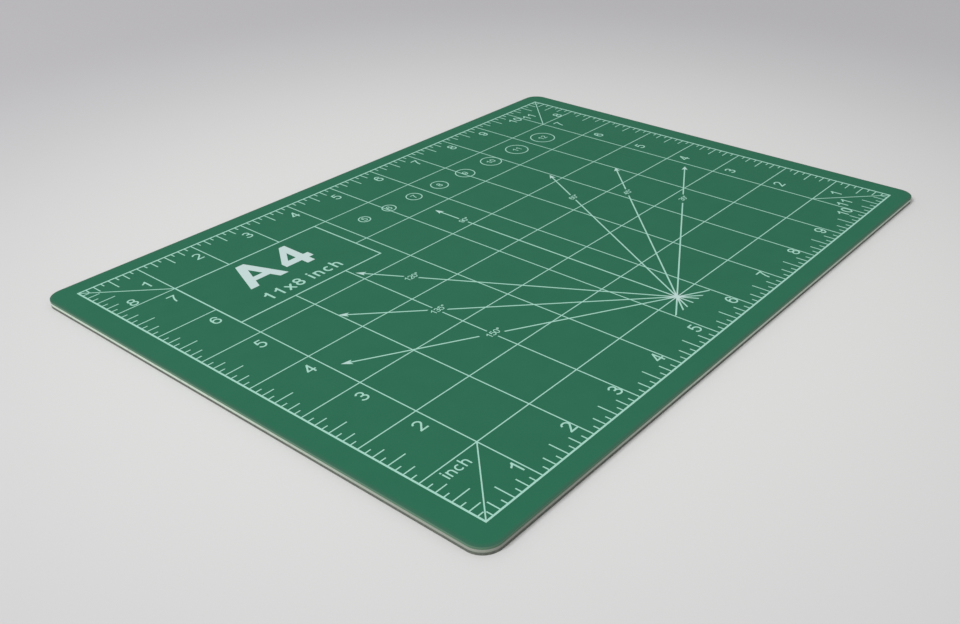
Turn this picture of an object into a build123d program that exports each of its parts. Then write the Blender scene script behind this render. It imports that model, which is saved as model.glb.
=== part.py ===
from build123d import *
import math
import os

# A laminated craft cutting mat with a printed inch grid. Millimetres.
# The origin is the middle of the underside: X runs along the long side, Y along the short
# side, and Z up through the plies. Places on the print are counted in squares from its
# lower left corner, column first.

# Printed scale that sets the size of the mat
pitch = 25.4  # one square, which is one inch
columns = 11
rows = 8
divisions = 8  # tick spaces in a square

# Sheet round the print
end_margin = 9.8
side_margin = 8.3
corner_radius = 7.0

# Plies, from the underside up
base_thick = 1.0
core_thick = 1.0
skin_thick = 1.0
roll_width = 1.0  # of the round edge that the cutting die pulls over the skin's rim
roll_share = 0.2  # of the skin, how far the rim drops
cut_overrun = 1.0

# Ink
ink_thick = 0.05
frame_line = 0.7
grid_line = 0.45
tick_line = 0.45
mitre_line = 0.45
panel_line = 0.6
ray_line = 0.6
gauge_line = 0.5

# Ruler ticks, measured in from the middle of the frame line
half_tick = 7.7
quarter_tick = 5.1
eighth_tick = 2.6

# Size panel, which hangs from a crossing of the grid
panel_column = 1
panel_row = rows - 1
panel_length = 70.0
panel_height = 40.0

# Angle guide, a fan of rays from a place on the first grid line
fan_column = columns / 2
fan_row = 1
ray_angles = (30, 45, 60, 90, 120, 135, 150)
ray_reach = 128.5
reach_shares = (0.998, 0.98, 0.973, 0.961, 0.97, 0.98, 0.995)  # of ray_reach
label_shares = (0.704, 0.7545, 0.758, 0.832, 0.796, 0.697, 0.573)  # of ray_reach
label_length = 8.3
label_height = 5.1
tail_drop = 7.0
head_length = 4.0
head_width = 2.8
head_notch = 0.8

# Circle gauges, a row of rings from small to large with even gaps between them
gauge_count = 8
gauge_first = 5.2  # diameter at the middle of the line
gauge_step = 1.0
gauge_gap = 9.15
gauge_start = 113.75  # from the frame line to the middle of the first ring
gauge_row_share = 0.547  # of a square, above the grid line below the rings
gauge_row = 6

# Worked out
print_length = columns * pitch
print_width = rows * pitch
mat_length = print_length + 2 * end_margin
mat_width = print_width + 2 * side_margin
mat_thick = base_thick + core_thick + skin_thick


def place(column, row):
    """A place on the print, counted in squares from its lower left corner."""
    return Vector((column - columns / 2) * pitch, (row - rows / 2) * pitch)


def stroke(start, end, width):
    """A straight printed line between two places."""
    run = end - start
    middle = (start + end) / 2
    turn = math.degrees(math.atan2(run.Y, run.X))
    return Pos(middle.X, middle.Y) * Rot(0, 0, turn) * Rectangle(run.length, width)


def block(low, high):
    """An upright rectangle between two opposite corners."""
    size = high - low
    middle = (low + high) / 2
    return Pos(middle.X, middle.Y) * Rectangle(size.X, size.Y)


def heading(angle):
    """The unit vector at an angle from the long side."""
    return Vector(math.cos(math.radians(angle)), math.sin(math.radians(angle)))


def ply(bottom, thick):
    """One sheet of the laminate, cut to the outline of the mat."""
    outline = RectangleRounded(mat_length, mat_width, corner_radius)
    return Pos(0, 0, bottom) * extrude(outline, thick)


def ink(sketch):
    """A printed pattern as a thin layer on the skin."""
    return Pos(0, 0, mat_thick) * extrude(sketch, ink_thick)


def rim_waste():
    """What the rolled edge leaves out of the skin: a section carried round the whole rim.

    Its arc leaves the working face level and drops to the cut edge.
    """
    edge = mat_width / 2
    drop = roll_share * skin_thick
    radius = (roll_width**2 + drop**2) / (2 * drop)
    level = Vector(0, edge - roll_width, mat_thick)
    turn = math.asin(roll_width / radius)
    half_way = level + radius * Vector(0, math.sin(turn / 2), math.cos(turn / 2) - 1)
    fallen = Vector(0, edge, mat_thick - drop)
    out = Vector(0, cut_overrun, 0)
    above = Vector(0, 0, cut_overrun)
    corner = Vector(0, edge, mat_thick) + out + above
    arc = ThreePointArc(level, half_way, fallen)
    sides = Polyline(fallen, fallen + out, corner, level + above, level)
    rim = Pos(0, 0, mat_thick) * RectangleRounded(mat_length, mat_width, corner_radius).wire()
    return sweep(make_face([arc, sides]), path=rim)


def top_skin():
    """The green working face, whose rim the die rolls over."""
    return ply(base_thick + core_thick, skin_thick) - rim_waste()


def inside_frame():
    """The field within the inner edge of the frame line."""
    return Rectangle(print_length - frame_line, print_width - frame_line)


def panel_corners():
    """The lower left and upper right corners of the size panel."""
    hung = place(panel_column, panel_row)
    return hung - Vector(0, panel_height), hung + Vector(panel_length, 0)


def label_blanks():
    """Bare blocks along the rays, where the size of each angle is written."""
    fan = place(fan_column, fan_row)
    half_blank = Vector(label_length, label_height) / 2
    blanks = []
    for angle, share in zip(ray_angles, label_shares):
        middle = fan + heading(angle) * ray_reach * share
        blanks.append(block(middle - half_blank, middle + half_blank))
    return blanks


def grid_pattern():
    """The inch grid, open at the size panel and at the labels."""
    lines = []
    for column in range(1, columns):
        lines.append(stroke(place(column, 0), place(column, rows), grid_line))
    for row in range(1, rows):
        lines.append(stroke(place(0, row), place(columns, row), grid_line))
    low, high = panel_corners()
    half_line = Vector(panel_line, panel_line) / 2
    border = block(low - half_line, high + half_line)
    panel = block(low + half_line, high - half_line)
    grid = (Sketch() + lines) & inside_frame()
    return grid + border - panel - label_blanks()


def tick_length(step):
    """The half, quarter and eighth marks of a square get shorter in turn."""
    if step % (divisions // 2) == 0:
        return half_tick
    if step % (divisions // 4) == 0:
        return quarter_tick
    return eighth_tick


def ticks(squares, start, along, inward):
    """The marks on one side, with none where a grid line stands."""
    marks = []
    for step in range(squares * divisions):
        if step % divisions:
            foot = start + along * pitch * step / divisions
            marks.append(stroke(foot, foot + inward * tick_length(step), tick_line))
    return marks


def ruler_pattern(grid):
    """The frame line, its ticks on all four sides and the mitre lines of its corners."""
    right = Vector(1, 0)
    up = Vector(0, 1)
    frame = Rectangle(print_length + frame_line, print_width + frame_line) - inside_frame()
    marks = ticks(columns, place(0, 0), right, up)
    marks += ticks(columns, place(0, rows), right, -up)
    marks += ticks(rows, place(0, 0), up, right)
    marks += ticks(rows, place(columns, 0), up, -right)
    for column, row in ((0, 0), (columns, 0), (0, rows), (columns, rows)):
        first_column = min(max(column, 1), columns - 1)
        first_row = min(max(row, 1), rows - 1)
        marks.append(stroke(place(column, row), place(first_column, first_row), mitre_line))
    return frame + marks - grid


def arrow_head(tip, angle):
    """A solid barbed head that points out along its ray."""
    back = heading(angle + 180)
    side = heading(angle + 90) * head_width / 2
    notch = tip + back * (head_length - head_notch)
    barb = tip + back * head_length
    return make_face(Polyline(tip, barb + side, notch, barb - side, close=True))


def angle_pattern(grid):
    """Seven rays with arrow heads, and their short tails below the grid line."""
    fan = place(fan_column, fan_row)
    parts = []
    for angle, share in zip(ray_angles, reach_shares):
        out = heading(angle)
        tip = fan + out * ray_reach * share
        tail = fan - out * (tail_drop + ray_line) / out.Y
        parts.append(stroke(tail, tip - out * (head_length - head_notch), ray_line))
        parts.append(arrow_head(tip, angle))
    below = fan - Vector(0, tail_drop)
    cut = block(below - Vector(print_length / 2, pitch / 2), below + Vector(print_length / 2, 0))
    return Sketch() + parts - cut - label_blanks() - grid


def gauge_pattern(grid):
    """The rings of the circle gauges."""
    middle = place(0, gauge_row + gauge_row_share) + Vector(gauge_start, 0)
    diameter = gauge_first
    rings = []
    for _ in range(gauge_count):
        ring = Circle((diameter + gauge_line) / 2) - Circle((diameter - gauge_line) / 2)
        rings.append(Pos(middle.X, middle.Y) * ring)
        middle += Vector(diameter / 2 + gauge_gap + (diameter + gauge_step) / 2, 0)
        diameter += gauge_step
    return Sketch() + rings - grid


grid = grid_pattern()
nodes = {
    "base_ply": ply(0, base_thick),
    "core_ply": ply(base_thick, core_thick),
    "top_skin": top_skin(),
    "grid_print": ink(grid),
    "ruler_print": ink(ruler_pattern(grid)),
    "angle_print": ink(angle_pattern(grid)),
    "gauge_print": ink(gauge_pattern(grid)),
}
os.makedirs("parts", exist_ok=True)
for name, shape in nodes.items():
    export_step(shape, "parts/" + name + ".step")
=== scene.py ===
import bpy
import math
from collections import namedtuple
from mathutils import Matrix, Vector


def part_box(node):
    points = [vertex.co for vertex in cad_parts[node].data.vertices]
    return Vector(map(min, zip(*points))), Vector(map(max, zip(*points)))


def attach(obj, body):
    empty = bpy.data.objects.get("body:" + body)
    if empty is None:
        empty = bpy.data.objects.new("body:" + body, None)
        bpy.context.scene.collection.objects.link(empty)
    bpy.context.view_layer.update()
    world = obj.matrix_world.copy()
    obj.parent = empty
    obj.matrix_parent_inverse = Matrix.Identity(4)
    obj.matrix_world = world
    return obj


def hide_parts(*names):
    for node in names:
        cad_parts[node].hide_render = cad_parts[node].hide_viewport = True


# A laminated craft cutting mat: three plies, a printed inch grid and its numerals. Metres.
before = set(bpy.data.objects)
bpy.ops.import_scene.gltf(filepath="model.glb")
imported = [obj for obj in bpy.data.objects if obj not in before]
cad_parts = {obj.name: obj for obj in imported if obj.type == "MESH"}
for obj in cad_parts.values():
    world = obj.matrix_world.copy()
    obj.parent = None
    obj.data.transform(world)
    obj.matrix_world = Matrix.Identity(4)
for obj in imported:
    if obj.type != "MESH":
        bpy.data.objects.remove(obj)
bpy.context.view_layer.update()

# Base ply
# The dark grey PVC sheet that the mat lies on. It is calendered with a fine leather grain
# and cut with the other two plies by one stroke of the die, which leaves drag lines.
mm = 0.001
corner_radius = 7.0 * mm
corner_steps = 24
arris = 0.06 * mm  # the small round where the die parts one ply from the next
arris_steps = 3
arris_angle = 50  # degrees that a rim turns by, or more, to get an arris
leather_grain = 0.55 * mm
drag_grain = 0.25 * mm
drag_stretch = (1, 1, 0.15)  # drawn out down the cut side
base_grey = (0.104, 0.118, 0.097, 1)
base_worn = (0.15, 0.163, 0.134, 1)
wear_grain = 1.2 * mm


class Nodes:
    """The shader nodes of one material or of the world."""

    def __init__(self, owner):
        owner.use_nodes = True
        self.tree = owner.node_tree

    def node(self, kind, settings, sockets, output=0):
        """Adds a node: its settings first, then its sockets. Gives back one output."""
        node = self.tree.nodes.new(kind)
        for name, setting in settings.items():
            setattr(node, name, setting)
        for name, value in sockets.items():
            self.feed(node.inputs[name], value)
        return Value(self, node.outputs[output])

    def feed(self, socket, value):
        if isinstance(value, Value):
            self.tree.links.new(value.socket, socket)
        else:
            socket.default_value = value

    def blend(self, share, first, second):
        """A colour that turns from the first to the second as the share goes from 0 to 1."""
        colours = {0: share, 6: first, 7: second}  # a Mix node's sockets for colours
        return self.node("ShaderNodeMix", {"data_type": "RGBA"}, colours, 2)

    def noise(self, grain, detail=2.0, stretch=(1, 1, 1)):
        """Soft noise whose spots are about one grain wide, from 0 to 1."""
        where = self.node("ShaderNodeTexCoord", {}, {}, "Object")
        size = {"Vector": where, "Scale": [part / grain for part in stretch]}
        spread = self.node("ShaderNodeMapping", {}, size)
        spots = {"Vector": spread, "Scale": 1.0, "Detail": detail}
        return self.node("ShaderNodeTexNoise", {}, spots)

    def ramp(self, value, low, high):
        """A smooth step from 0 at the low value to 1 at the high one."""
        ends = {"Value": value, "From Min": low, "From Max": high}
        return self.node("ShaderNodeMapRange", {"interpolation_type": "SMOOTHSTEP"}, ends)


class Value:
    """A number that varies over a surface. Sums and products with it add Math nodes."""

    def __init__(self, nodes, socket):
        self.nodes = nodes
        self.socket = socket

    def math(self, operation, *numbers):
        sockets = dict(enumerate(numbers))
        return self.nodes.node("ShaderNodeMath", {"operation": operation}, sockets)

    def __add__(self, other):
        return self.math("ADD", self, other)

    def __radd__(self, other):
        return self.math("ADD", other, self)

    def __sub__(self, other):
        return self.math("SUBTRACT", self, other)

    def __rsub__(self, other):
        return self.math("SUBTRACT", other, self)

    def __mul__(self, other):
        return self.math("MULTIPLY", self, other)

    def __rmul__(self, other):
        return self.math("MULTIPLY", other, self)


def matt_finish(name, colour, roughness, gloss, relief, depth):
    """A matt finish. Its colour, roughness and relief are each made by a function of its nodes."""
    material = bpy.data.materials.new(name)
    nodes = Nodes(material)
    shader = nodes.tree.nodes["Principled BSDF"]
    shader.inputs["Specular IOR Level"].default_value = gloss
    height = {"Height": relief(nodes), "Strength": 1.0, "Distance": depth}
    nodes.feed(shader.inputs["Base Color"], colour(nodes))
    nodes.feed(shader.inputs["Roughness"], roughness(nodes))
    nodes.feed(shader.inputs["Normal"], nodes.node("ShaderNodeBump", {}, height))
    return material


def deselect():
    bpy.ops.object.select_all(action="DESELECT")


def apply_modifiers(piece):
    bpy.context.view_layer.objects.active = piece
    for modifier in list(piece.modifiers):
        bpy.ops.object.modifier_apply(modifier=modifier.name)


def blank(name, low, high):
    """A ply as the die cuts it: a plate with round corners."""
    deselect()
    size = high - low
    bpy.ops.mesh.primitive_plane_add(size=1, location=(0, 0, low.z))
    piece = bpy.context.object
    piece.name = name
    piece.scale = (size.x, size.y, 1)
    bpy.ops.object.transform_apply(location=True, rotation=True, scale=True)
    bpy.ops.object.mode_set(mode="EDIT")
    bpy.ops.mesh.select_all(action="SELECT")
    bpy.ops.mesh.bevel(offset=corner_radius, segments=corner_steps, affect="VERTICES")
    bpy.ops.mesh.select_all(action="SELECT")
    bpy.ops.mesh.extrude_region_move(TRANSFORM_OT_translate={"value": (0, 0, size.z)})
    bpy.ops.mesh.select_all(action="SELECT")
    bpy.ops.mesh.normals_make_consistent(inside=False)
    bpy.ops.object.mode_set(mode="OBJECT")
    return piece


def soften(piece):
    """Rounds the sharp rims of a ply and shades it smooth, with its wide faces kept level."""
    rims = piece.modifiers.new("arris", "BEVEL")
    rims.width = arris
    rims.segments = arris_steps
    rims.limit_method = "ANGLE"
    rims.angle_limit = math.radians(arris_angle)
    piece.modifiers.new("level", "WEIGHTED_NORMAL")
    deselect()
    piece.select_set(True)
    bpy.context.view_layer.objects.active = piece
    bpy.ops.object.shade_smooth_by_angle(angle=math.radians(arris_angle))
    apply_modifiers(piece)


def dress(piece, node, material):
    """Gives a modelled ply its finish, and puts it in the place of its solid."""
    piece.data.materials.clear()
    piece.data.materials.append(material)
    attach(piece, "root")
    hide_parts(node)


def base_colour(nodes):
    worn = nodes.ramp(nodes.noise(wear_grain, 3.0), 0.45, 0.75)
    return nodes.blend(worn, base_grey, base_worn)


def base_relief(nodes):
    drag_lines = nodes.noise(drag_grain, 1.0, drag_stretch)
    return nodes.noise(leather_grain, 3.0) + 0.5 * drag_lines


base_finish = matt_finish(
    "dark PVC",
    colour=base_colour,
    roughness=lambda nodes: 0.6 + 0.12 * nodes.noise(0.6 * mm),
    gloss=0.3,
    relief=base_relief,
    depth=0.05 * mm,
)
base = blank("base_sheet", *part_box("base_ply"))
soften(base)
dress(base, "base_ply", base_finish)

# Core ply
# The cream PVC sheet between the other two, soft enough to close over a knife cut. Only its
# cut edge shows, a pale stripe with the fine drag lines of the die. It is soiled in small
# spots, and it has painted shade on both sides, darker and darker towards the front left corner.
core_cream = (0.53, 0.62, 0.53, 1)
# the dark of the small stains, and of the painted shade at the front left corner
core_stain_and_shade = (0.30, 0.325, 0.28, 1)
corner_shade_full = 5 * mm  # the painted shade is full this near the front left corner
corner_shade_end = 140 * mm
spot_grain = 2.5 * mm
spot_strength = 0.5
core_drag_grain = 0.3 * mm
core_drag_stretch = (1, 1, 0.12)


def core_colour(nodes):
    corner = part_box("core_ply")[0]
    where = nodes.node("ShaderNodeTexCoord", {}, {}, "Object")
    ends = {0: where, 1: corner}
    out = nodes.node("ShaderNodeVectorMath", {"operation": "DISTANCE"}, ends, "Value")
    # painted shade, darkest at the front left corner and fading away from it
    painted_corner_shade = 1 - nodes.ramp(out, corner_shade_full, corner_shade_end)
    spots = spot_strength * nodes.ramp(nodes.noise(spot_grain, 4.0), 0.5, 0.8)
    return nodes.blend(spots + (1 - spots) * painted_corner_shade, core_cream, core_stain_and_shade)


core_finish = matt_finish(
    "cream PVC",
    colour=core_colour,
    roughness=lambda nodes: 0.65 + 0.15 * nodes.noise(0.4 * mm, 1.0, drag_stretch),
    gloss=0.25,
    relief=lambda nodes: nodes.noise(core_drag_grain, 2.0, core_drag_stretch),
    depth=0.06 * mm,
)
core = blank("core_sheet", *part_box("core_ply"))
soften(core)
dress(core, "core_ply", core_finish)

# Top skin
# The green PVC working face, bonded to the core. It has a fine pebble grain. The die pulls
# its rim down a little, where the grain is pressed smooth, and leaves the cut side paler.
roll_width = 1.0 * mm
roll_drop = 0.2 * mm
roll_steps = 5
rim_reach = 1.8 * mm  # how far in from the cut side the pressed rim shows
rim_smooth = 0.7  # of the grain, how much of it is pressed away there
cut_reach = 0.12 * mm
pebble_grain = 0.42 * mm
cloud_grain = 9 * mm  # of the two greens of the field
skin_green = (0.0222, 0.142, 0.079, 1)
skin_light = (0.0262, 0.156, 0.089, 1)
skin_pressed = (0.042, 0.130, 0.085, 1)
skin_cut = (0.101, 0.195, 0.132, 1)


def rim_share(nodes, reach):
    """1 on the cut side of the mat, and 0 from the reach inwards."""
    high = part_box("top_skin")[1]
    where = nodes.node("ShaderNodeTexCoord", {}, {}, "Object")
    over = []
    for axis, half in (("X", high.x), ("Y", high.y)):
        part = nodes.node("ShaderNodeSeparateXYZ", {}, {0: where}, axis)
        beyond = part.math("ABSOLUTE", part) - (half - corner_radius)
        over.append(beyond.math("MAXIMUM", beyond, 0.0))
    across, along = over
    out = across.math("SQRT", across * across + along * along)
    return nodes.ramp(out, corner_radius - reach, corner_radius)


def skin_colour(nodes):
    field = nodes.blend(nodes.noise(cloud_grain, 3.0), skin_green, skin_light)
    rim = nodes.blend(rim_share(nodes, rim_reach), field, skin_pressed)
    return nodes.blend(rim_share(nodes, cut_reach), rim, skin_cut)


def skin_roughness(nodes):
    return 0.6 + 0.1 * nodes.noise(0.5 * mm) - 0.1 * rim_share(nodes, rim_reach)


def skin_relief(nodes):
    return nodes.noise(pebble_grain, 2.0) * (1 - rim_smooth * rim_share(nodes, rim_reach))


skin_finish = matt_finish(
    "green PVC",
    colour=skin_colour,
    roughness=skin_roughness,
    gloss=0.07,
    relief=skin_relief,
    depth=0.035 * mm,
)


def roll_height(inset):
    """How far the round edge lies under the working face, at an inset from the cut edge."""
    radius = (roll_width**2 + roll_drop**2) / (2 * roll_drop)
    return radius - math.sqrt(radius**2 - (roll_width - inset) ** 2)


skin_low, skin_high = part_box("top_skin")
skin = blank("skin_sheet", skin_low, skin_high - Vector((0, 0, roll_drop)))
bpy.ops.object.mode_set(mode="EDIT")
bpy.ops.mesh.select_mode(type="FACE")
bpy.ops.mesh.select_all(action="DESELECT")
bpy.ops.object.mode_set(mode="OBJECT")
for polygon in skin.data.polygons:
    polygon.select = polygon.normal.z > 0.9  # the working face
bpy.ops.object.mode_set(mode="EDIT")
for step in range(roll_steps):
    outer = roll_height(roll_width * step / roll_steps)
    inner = roll_height(roll_width * (step + 1) / roll_steps)
    bpy.ops.mesh.inset(thickness=roll_width / roll_steps, depth=outer - inner)
bpy.ops.object.mode_set(mode="OBJECT")
soften(skin)
dress(skin, "top_skin", skin_finish)

# Printed grid, rulers, angle guide and circle gauges
# One pass of pale screen ink on the green skin. The ink lies thin on the fine lines, where
# the green shows through, and pools to near white where the rays meet and on their heads.
pitch = 25.4 * mm
columns = 11
rows = 8
line_pale = (0.38, 0.67, 0.56, 1)
line_thin = (0.25, 0.52, 0.42, 1)
pool_pale = (0.555, 0.70, 0.68, 1)
pool_thin = (0.46, 0.615, 0.59, 1)
thin_grain = 0.35 * mm
hub_reach = 6.0 * mm
hub_core = 0.2  # of the hub's reach, where the ink is thickest
hub_pool = 0.8  # how far the ink turns to its pooled colour
head_start = 129.3 * mm  # from the hub, on a level ray
head_fall = 9.7 * mm  # how much shorter an upright ray is
head_blur = 0.8 * mm  # over which the ink changes
head_pool = 0.6


def place(column, row):
    """A place on the print, counted in squares from its lower left corner."""
    return Vector(((column - columns / 2) * pitch, (row - rows / 2) * pitch))


fan = place(columns / 2, 1)


def thin_share(nodes):
    """1 in the small patches where the ink is thinner."""
    return nodes.ramp(nodes.noise(thin_grain, 3.0), 0.5, 0.85)


def line_colour(nodes):
    """Mint, and greener where the ink is thinner."""
    return nodes.blend(thin_share(nodes), line_pale, line_thin)


def pool_colour(nodes):
    """Near white, where the ink lies thick."""
    return nodes.blend(thin_share(nodes), pool_pale, pool_thin)


def from_fan(nodes):
    """How far a place is from the hub of the rays, and how far up the mat it is from there."""
    where = nodes.node("ShaderNodeTexCoord", {}, {}, "Object")
    across = nodes.node("ShaderNodeSeparateXYZ", {}, {0: where}, "X") - fan.x
    along = nodes.node("ShaderNodeSeparateXYZ", {}, {0: where}, "Y") - fan.y
    return across.math("SQRT", across * across + along * along), along


def hub_share(nodes):
    """How far the ink has pooled where the rays meet."""
    out = from_fan(nodes)[0]
    return hub_pool - hub_pool * nodes.ramp(out, hub_core * hub_reach, hub_reach)


def head_share(nodes):
    """How far the ink has pooled on the heads of the rays."""
    out, along = from_fan(nodes)
    reach = out + head_fall * out.math("DIVIDE", along, out)
    return head_pool * nodes.ramp(reach, head_start, head_start + head_blur)


def grid_colour(nodes):
    return nodes.blend(hub_share(nodes), line_colour(nodes), pool_colour(nodes))


def ray_colour(nodes):
    pooled = hub_share(nodes) + head_share(nodes)
    return nodes.blend(pooled, line_colour(nodes), pool_colour(nodes))


def ink(name, colour):
    """Screen ink, which follows the pebble grain of the skin."""
    return matt_finish(
        name,
        colour=colour,
        roughness=lambda nodes: 0.55 + 0.15 * nodes.noise(0.6 * mm),
        gloss=0.1,
        relief=lambda nodes: nodes.noise(pebble_grain, 2.0),
        depth=0.02 * mm,
    )


line_ink = ink("line ink", line_colour)
pool_ink = ink("pooled ink", pool_colour)
inks = {
    "grid_print": ink("grid ink", grid_colour),
    "ruler_print": line_ink,
    "angle_print": ink("ray ink", ray_colour),
    "gauge_print": line_ink,
}
for name, finish in inks.items():
    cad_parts[name].material_slots[0].material = finish

# Signs of the print
# The numerals and letters, drawn with a round-hand pen of even width and cut level at the
# foot and the head, as the film for the screen is cut. Each is modelled once, one unit high.
pen = 0.122  # of the height of a sign
x_height = 0.735  # of the same height, as is the word space
word_space = 0.388
bow_step = 12  # degrees
same_place = 0.0003  # of the height, for corners that are merged
stroke_closes = 0.001  # of the cell, between the ends of a stroke that is a ring
cell_depth = 3  # to reach out of the strokes, which are 1 thick
Sign = namedtuple("Sign", "lead width advance height strokes")


def bow(across, up, wide, high, start, end):
    """Places on an oval bow between two angles, in shares of the sign's cell."""
    count = max(3, round(abs(end - start) / bow_step))
    turns = [math.radians(start + (end - start) * step / count) for step in range(count + 1)]
    return [(across + wide * math.cos(turn), up + high * math.sin(turn)) for turn in turns]


def turned(strokes):
    """The same strokes turned upside down."""
    return [[(1 - across, 1 - up) for across, up in stroke] for stroke in strokes]


def arch():
    """The shoulder and right leg of an n or an h."""
    return bow(0.5, 0.42, 0.5, 0.27, 180, 0) + [(1, -0.2)]


eight = [bow(0.5, 0.765, 0.43, 0.235, 0, 360), bow(0.5, 0.265, 0.5, 0.265, 0, 360)]
six = [bow(0.5, 0.31, 0.5, 0.31, 0, 360), bow(0.53, 0.5, 0.53, 0.5, 28, 180) + [(0, 0.31)]]
three_head = bow(0.47, 0.755, 0.45, 0.245, 160, -90) + [(0.3, 0.51)]
three_foot = [(0.3, 0.53)] + bow(0.47, 0.265, 0.53, 0.265, 90, -160)
two = bow(0.5, 0.73, 0.5, 0.27, 168, -35) + [(0, 0)]
seven = [(1, 1), (0.68, 0.64), (0.47, 0.3), (0.36, -0.2)]
five = [(0.93, 1), (0.2, 1), (0.07, 0.5)]
four = [[(0.76, -0.2), (0.76, 1.2)], [(0.84, 1.11), (0, 0.27)], [(-0.2, 0.27), (1.2, 0.27)]]

cross = [[(-0.12, -0.14), (1.12, 1.14)], [(-0.12, 1.14), (1.12, -0.14)]]

# Each sign has the bare space before it, its width, the step from its start to the next
# sign's start, its height and its strokes. A stroke that runs past 0 or 1 is cut there.
signs = {
    "0": Sign(0.058, 0.658, 0.777, 1, [bow(0.5, 0.5, 0.5, 0.5, 0, 360)]),
    "1": Sign(0.13, 0.41, 0.777, 1, [[(1, -0.2), (1, 1.2)], [(1, 1), (0.6, 0.84), (-0.2, 0.69)]]),
    "2": Sign(0.042, 0.661, 0.777, 1, [two, [(-0.2, 0), (1.2, 0)]]),
    "3": Sign(0.059, 0.657, 0.777, 1, [three_head, three_foot]),
    "4": Sign(0.018, 0.692, 0.777, 1, four),
    "5": Sign(0.058, 0.663, 0.777, 1, [five, bow(0.47, 0.325, 0.53, 0.325, 142, -160)]),
    "6": Sign(0.053, 0.666, 0.777, 1, six),
    "7": Sign(0.066, 0.647, 0.777, 1, [[(-0.2, 1), (1.2, 1)], seven]),
    "8": Sign(0.057, 0.663, 0.777, 1, eight),
    "9": Sign(0.057, 0.664, 0.777, 1, turned(six)),
    "°": Sign(0.087, 0.36, 0.559, 1, [bow(0.5, 0.88, 0.5, 0.12, 0, 360)]),
    "c": Sign(0.055, 0.633, 0.698, 1, [bow(0.5, 0.345, 0.5, 0.345, 48, 312)]),
    "h": Sign(0.092, 0.589, 0.777, 1, [[(0, -0.2), (0, 1.2)], arch()]),
    "i": Sign(0.075, 0.16, 0.31, 1, [[(0.5, -0.2), (0.5, 0.76)], [(0.5, 0.88), (0.5, 1.2)]]),
    "n": Sign(0.092, 0.588, 0.777, 1, [[(0, -0.2), (0, 0.76)], arch()]),
    "x": Sign(0.055, 0.59, 0.698, x_height, cross),
}

# The two large signs are cut as outlines and not drawn, with square ends and straight sides.
cut_a = [
    [(0, 0), (0.21, 0), (0.296, 0.228), (0.67, 0.228), (0.756, 0), (0.966, 0)]
    + [(0.588, 1), (0.378, 1)],
    [(0.359, 0.393), (0.607, 0.393), (0.483, 0.715)],
]
cut_four = [
    [(0.404, 0), (0.602, 0), (0.602, 0.187), (0.726, 0.188), (0.726, 0.3835), (0.602, 0.3835)]
    + [(0.602, 1), (0.452, 1), (0, 0.356), (0, 0.188), (0.404, 0.187)],
    [(0.194, 0.3835), (0.404, 0.3835), (0.404, 0.685)],
]
masters = {}


def merge_doubles(piece):
    """Makes one of the corners of a shape that lie in one place."""
    deselect()
    piece.select_set(True)
    bpy.context.view_layer.objects.active = piece
    bpy.ops.object.mode_set(mode="EDIT")
    bpy.ops.mesh.select_all(action="SELECT")
    bpy.ops.mesh.remove_doubles(threshold=same_place)
    bpy.ops.object.mode_set(mode="OBJECT")


def flat_shape(outlines, closed, filled):
    """Straight runs between places, raised one unit and made a mesh."""
    curve = bpy.data.curves.new("shape", "CURVE")
    curve.dimensions = "2D"
    curve.fill_mode = "BOTH" if filled else "NONE"
    curve.extrude = 0.5
    for outline in outlines:
        spline = curve.splines.new("POLY")
        spline.points.add(len(outline) - 1)
        spline.use_cyclic_u = closed
        for point, (across, up) in zip(spline.points, outline):
            point.co = (across, up, 0, 1)
    piece = bpy.data.objects.new("shape", curve)
    bpy.context.collection.objects.link(piece)
    deselect()
    piece.select_set(True)
    bpy.context.view_layer.objects.active = piece
    bpy.ops.object.convert(target="MESH")
    piece = bpy.context.object
    merge_doubles(piece)
    return piece


def level_up(piece):
    """Turns the faces of a raised shape outwards, and stands it one unit high on the ground."""
    bpy.ops.object.mode_set(mode="EDIT")
    bpy.ops.mesh.select_all(action="SELECT")
    bpy.ops.mesh.normals_make_consistent(inside=False)
    bpy.ops.object.mode_set(mode="OBJECT")
    for vertex in piece.data.vertices:
        vertex.co.z = 1 if vertex.co.z > 0 else 0


def stroke_solid(places, width, height, nib):
    """One pen stroke, one unit thick: a raised centreline with the pen's width laid round it."""
    closed = math.dist(places[0], places[-1]) < stroke_closes
    run = places[:-1] if closed else places
    wide = width - nib
    high = height - nib
    line = [(nib / 2 + across * wide, nib / 2 + up * high) for across, up in run]
    piece = flat_shape([line], closed, False)
    wall = piece.modifiers.new("pen", "SOLIDIFY")
    wall.thickness = nib
    wall.offset = 0
    wall.use_even_offset = True
    apply_modifiers(piece)
    level_up(piece)
    return piece


def combine(piece, other, operation):
    """Joins two solids or keeps what they share, and clears the second away."""
    cut = piece.modifiers.new("combine", "BOOLEAN")
    cut.operation = operation
    cut.solver = "EXACT"
    cut.object = other
    apply_modifiers(piece)
    bpy.data.objects.remove(other)


def master(name, nib):
    """The model of one sign, one unit high and one thick, with its lower left at the origin."""
    if (name, nib) not in masters:
        sign = signs[name]
        solids = [stroke_solid(places, sign.width, sign.height, nib) for places in sign.strokes]
        piece = solids[0]
        deselect()
        middle = (sign.width / 2, sign.height / 2, 0.5)
        size = (sign.width, sign.height, cell_depth)
        bpy.ops.mesh.primitive_cube_add(size=1, location=middle, scale=size)
        bpy.ops.object.transform_apply(location=True, rotation=True, scale=True)
        cell = bpy.context.object
        for other in solids[1:]:
            combine(piece, other, "UNION")
        combine(piece, cell, "INTERSECT")
        merge_doubles(piece)
        masters[name, nib] = piece
    return masters[name, nib]


ink_bottom = skin_high.z
ink_thick = 0.048 * mm  # just under the printed lines, so that no two faces lie in one plane


def lay(piece, high, left, foot):
    """Sizes a sign and lays it on the skin with its lower left at a place."""
    piece.data.transform(Matrix.Diagonal((high, high, ink_thick, 1)))
    piece.data.transform(Matrix.Translation((left, foot, ink_bottom)))


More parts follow.
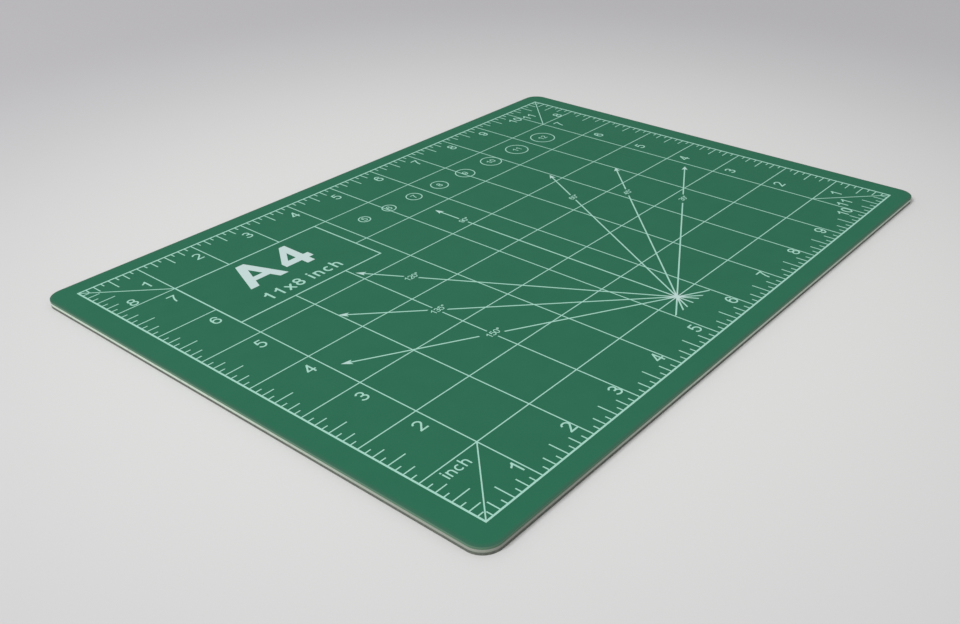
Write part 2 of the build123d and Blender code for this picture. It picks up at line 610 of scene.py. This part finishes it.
def write(text, high, start, foot, nib=pen, tighter=0.0):
    """Copies of the signs of a text, side by side on the skin.

    Each stands nearer to the one before it by a share of the height, where it is tighter.
    """
    copies = []
    for name in text:
        if name == " ":
            start += word_space * high
            continue
        piece = master(name, nib).copy()
        piece.data = piece.data.copy()
        bpy.context.collection.objects.link(piece)
        lay(piece, high, start + signs[name].lead * high, foot)
        copies.append(piece)
        start += (signs[name].advance - tighter) * high
    return copies


def centred(text, high, middle, nib=pen, tighter=0.0):
    """A text with the middle of its ink at a place on the print."""
    first, last = signs[text[0]], signs[text[-1]]
    before_last = sum(signs[name].advance - tighter for name in text[:-1])
    right = before_last + last.lead + last.width
    start = middle.x - (first.lead + right) / 2 * high
    return write(text, high, start, middle.y - high / 2, nib, tighter)


def gather(name, copies, finish=line_ink):
    """Joins the signs of one group into its piece, with level faces, and inks it."""
    deselect()
    for piece in copies:
        piece.select_set(True)
    bpy.context.view_layer.objects.active = copies[0]
    bpy.ops.object.join()
    bpy.ops.object.shade_flat()
    piece = bpy.context.object
    piece.name = name
    piece.data.materials.clear()
    piece.data.materials.append(finish)
    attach(piece, "root")


# Ruler numerals
# Plain numbers inside the frame line: 1 to 11 along both long sides, and 1 to 8 up both
# short sides. Each stands near the grid line that it counts, set by hand on the film.
numeral_high = 5.25 * mm
bottom_row = 0.332
bottom_columns = (0.913, 1.924, 2.924, 3.912, 4.886, 5.92, 6.918, 7.925, 8.895, 9.855)
top_row = 7.61
top_columns = (1.853, 2.844, 3.845, 4.81, 5.85, 6.86, 7.86, 8.81, 9.835)  # from 2 on
left_column = 0.802
left_under = 0.245  # of a square, under the grid line
right_column = 10.228
right_under = 0.24
corner_numerals = (  # in the corner squares, where two rulers meet
    ("1", 0.794, 7.44),
    ("8", 0.357, 7.128),
    ("11", 10.18, 0.495),
    ("1", 10.475, 0.785),
    ("11", 10.17, 7.52),
    ("8", 10.625, 7.11),
)
numerals = []
for number, column in enumerate(bottom_columns, 1):
    numerals += centred(str(number), numeral_high, place(column, bottom_row))
for number, column in enumerate(top_columns, 2):
    numerals += centred(str(number), numeral_high, place(column, top_row))
for number in range(2, rows):
    numerals += centred(str(number), numeral_high, place(left_column, number - left_under))
    numerals += centred(str(number), numeral_high, place(right_column, number - right_under))
for number, column, row in corner_numerals:
    numerals += centred(number, numeral_high, place(column, row))
gather("ruler_numerals", numerals)

# Unit and size marks
# The unit of the rulers in the first square, and in the panel the paper size of the sheet
# in bold, with the number of squares under it. They are of the same ink as the numerals,
# which pools to near white in the bold signs.
size_high = 19.0 * mm
size_starts = ((cut_a, place(1.702, 6.085)), (cut_four, place(2.512, 6.085)))
squares_high = 5.8 * mm
squares_pen = 0.15
squares_start = place(1.653, 5.602)
squares_apart = 0.08  # of the height, how much wider the signs stand
unit_high = 4.25 * mm
unit_pen = 0.125
unit_middle = place(0.475, 0.865)
size_name = []
for outlines, start in size_starts:
    sign = flat_shape(outlines, True, True)
    level_up(sign)
    lay(sign, size_high, start.x, start.y)
    size_name.append(sign)
gather("size_mark", size_name, pool_ink)
squares = write("11x8 inch", squares_high, *squares_start, squares_pen, -squares_apart)
gather("squares_mark", squares)
gather("unit_mark", centred("inch", unit_high, unit_middle, unit_pen))

# Angle labels
# The size of each angle in degrees, screened in the same pass of ink as the rays. Each label
# stands level in the gap that its ray leaves for it.
label_high = 2.85 * mm
label_tighter = 0.08
label_aside = 0.5 * mm  # to the right of the middle of the gap
last_aside = 1.2 * mm  # the same for the widest angle
ray_reach = 128.5 * mm
label_shares = {  # of the reach, by angle
    30: 0.704, 45: 0.7545, 60: 0.758, 90: 0.832, 120: 0.796, 135: 0.697, 150: 0.573
}
labels = []
for angle, share in label_shares.items():
    turn = math.radians(angle)
    middle = fan + Vector((math.cos(turn), math.sin(turn))) * ray_reach * share
    middle.x += last_aside if angle == max(label_shares) else label_aside
    labels += centred(f"{angle}°", label_high, middle, pen, label_tighter)
gather("angle_labels", labels)

# Gauge numbers
# The number of each circle gauge, in the middle of its ring. They are screened with the
# rings, in a row that runs on from the size panel with even gaps between the rings.
gauge_high = 3.3 * mm
gauge_row = 6.547
gauge_start = 113.75 * mm  # from the frame line to the middle of the first ring
gauge_gap = 9.15 * mm
gauge_over = 0.2 * mm  # how much wider a ring is than its number says
gauge_numbers = range(5, 13)
middle = place(0, gauge_row) + Vector((gauge_start, 0))
gauge_marks = []
for number in gauge_numbers:
    gauge_marks += centred(str(number), gauge_high, middle)
    ring = number * mm + gauge_over
    next_ring = ring + mm
    middle += Vector((ring / 2 + gauge_gap + next_ring / 2, 0))
gather("gauge_numbers", gauge_marks)
for piece in masters.values():
    bpy.data.objects.remove(piece)

# Floor
# A plain pale table top, with a painted pool of light round the mat and painted shade a little
# further out, and pale again where it runs out of sight, so that it meets the room behind it.
floor_pale = (0.725, 0.725, 0.718, 1)
floor_painted_shade = (0.51, 0.50, 0.52, 1)
floor_far = (0.85, 0.85, 0.86, 1)
painted_shade_start = 0.10
painted_shade_full = 0.42
far_start = 0.9
far_full = 4.0
floor_half = 8.0
floor_drop = 0.02 * mm  # so that it and the underside don't lie in one plane

deselect()
bpy.ops.mesh.primitive_plane_add(size=2 * floor_half, location=(0, 0, -floor_drop))
bpy.ops.object.transform_apply(location=True, rotation=True, scale=True)
floor = bpy.context.object
floor.name = "floor"


def floor_colour(nodes):
    where = nodes.node("ShaderNodeTexCoord", {}, {}, "Object")
    out = nodes.node("ShaderNodeVectorMath", {"operation": "LENGTH"}, {0: where}, "Value")
    # painted shade round the painted pool of light near the mat
    near = nodes.blend(nodes.ramp(out, painted_shade_start, painted_shade_full), floor_pale, floor_painted_shade)
    return nodes.blend(nodes.ramp(out, far_start, far_full), near, floor_far)


floor.data.materials.append(
    matt_finish(
        "table top",
        colour=floor_colour,
        roughness=lambda nodes: 0.7 + 0.05 * nodes.noise(4 * mm),
        gloss=0.15,
        relief=lambda nodes: nodes.noise(1.5 * mm),
        depth=0.01 * mm,
    )
)

# Light
# A wide soft box high on the left, a little behind, and the pale room round it. The box
# leaves a thin soft shadow along the front and the right of the mat.
box_place = Vector((-2.10, 0.28, 2.10))
box_side = 1.1
box_power = 60.0
room_light = 0.52

deselect()
bpy.ops.object.light_add(type="AREA", location=box_place)
soft_box = bpy.context.object
soft_box.rotation_euler = (-box_place).to_track_quat("-Z", "Y").to_euler()
soft_box.data.shape = "SQUARE"
soft_box.data.size = box_side
soft_box.data.energy = box_power

world = bpy.data.worlds.new("room")
bpy.context.scene.world = world
room = Nodes(world)
sky = room.node("ShaderNodeBackground", {}, {"Color": (1, 1, 1, 1), "Strength": room_light})
room.feed(room.tree.nodes["World Output"].inputs["Surface"], sky)

# Camera
# Low over the front left corner, looking across the mat to its far right corner. Its place,
# turn, lens and shift were fitted to the crossings of the grid in the photo.
camera_place = (-0.29907, -0.24271, 0.19314)
camera_turns = (57.734, 0.244, -50.781)  # degrees
sensor_wide = 36  # millimetres, as is the lens
lens_length = 38.68
frame_shift = (-0.0359, 0.0380)
clip_near = 0.01
clip_far = 50

deselect()
bpy.ops.object.camera_add(location=camera_place)
camera = bpy.context.object
camera.rotation_euler = [math.radians(turn) for turn in camera_turns]
camera.data.sensor_width = sensor_wide
camera.data.lens = lens_length
camera.data.shift_x, camera.data.shift_y = frame_shift
camera.data.clip_start = clip_near
camera.data.clip_end = clip_far
bpy.context.scene.camera = camera
bpy.context.scene.view_settings.view_transform = "Standard"

bpy.context.view_layer.update()
